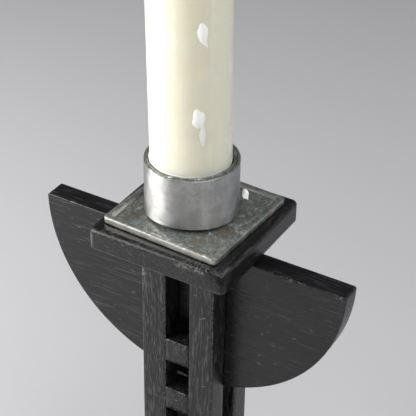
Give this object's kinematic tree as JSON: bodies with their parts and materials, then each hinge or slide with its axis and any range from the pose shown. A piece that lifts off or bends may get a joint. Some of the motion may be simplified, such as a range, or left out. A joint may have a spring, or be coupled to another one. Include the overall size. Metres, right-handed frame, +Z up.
{
  "type": "pillar candle holder",
  "caption": "Dark oak candlestick with a fretted column, a half-disc wing, a square metal drip plate and a cup that holds a pillar candle.",
  "frame": {"origin": "on the column's axis at the underside of the felt pad, where the candlestick stands", "axes": "+Z up along the column, +X along the half-disc wing, -Y towards the front"},
  "size_m": [0.2114, 0.14, 0.4961],
  "materials": {
    "ebonised_oak": "black-stained open-pored oak, satin, worn at the arrises",
    "dowel_wood": "plain beech, unfinished",
    "screw_steel": "plain steel wood screw",
    "pewter": "dull grey soft metal, brushed, with patina and wax marks",
    "wax": "ivory candle wax, smooth and slightly translucent",
    "wick_cotton": "burnt braided cotton",
    "felt": "dark green felt"
  },
  "bodies": {
    "column": {"felt_pad": "felt", "base_plinth": "ebonised_oak", "base_step": "ebonised_oak", "front_stile_left": "ebonised_oak", "front_stile_right": "ebonised_oak", "rear_stile_left": "ebonised_oak", "rear_stile_right": "ebonised_oak", "front_rail_1": "ebonised_oak", "front_rail_2": "ebonised_oak", "front_rail_3": "ebonised_oak", "front_rail_4": "ebonised_oak", "front_rail_5": "ebonised_oak", "rear_rail_1": "ebonised_oak", "rear_rail_2": "ebonised_oak", "rear_rail_3": "ebonised_oak", "rear_rail_4": "ebonised_oak", "rear_rail_5": "ebonised_oak", "wing_panel": "ebonised_oak", "spacer_middle": "ebonised_oak", "spacer_foot": "ebonised_oak", "cap_block": "ebonised_oak", "wing_dowel_1": "dowel_wood", "wing_dowel_2": "dowel_wood", "wing_dowel_3": "dowel_wood", "wing_dowel_4": "dowel_wood", "base_screw_1": "screw_steel", "base_screw_2": "screw_steel", "base_screw_3": "screw_steel", "base_screw_4": "screw_steel", "cap_screw_1": "screw_steel", "cap_screw_2": "screw_steel", "cap_screw_3": "screw_steel", "cap_screw_4": "screw_steel", "cup_screw": "screw_steel"},
    "tray": {"drip_plate": "pewter", "cup_wall": "pewter", "cup_floor": "pewter"},
    "candle": {"candle": "wax", "wick": "wick_cotton"}
  },
  "joints": [
    {"name": "tray_turn", "type": "hinge", "parent": "column", "child": "tray", "pos_m": [0, 0, 0.2833], "axis": [0, 0, 1], "continuous": true},
    {"name": "candle_lift", "type": "slide", "parent": "tray", "child": "candle", "axis": [0, 0, 1], "range_m": [0, 0.05]}
  ]
}
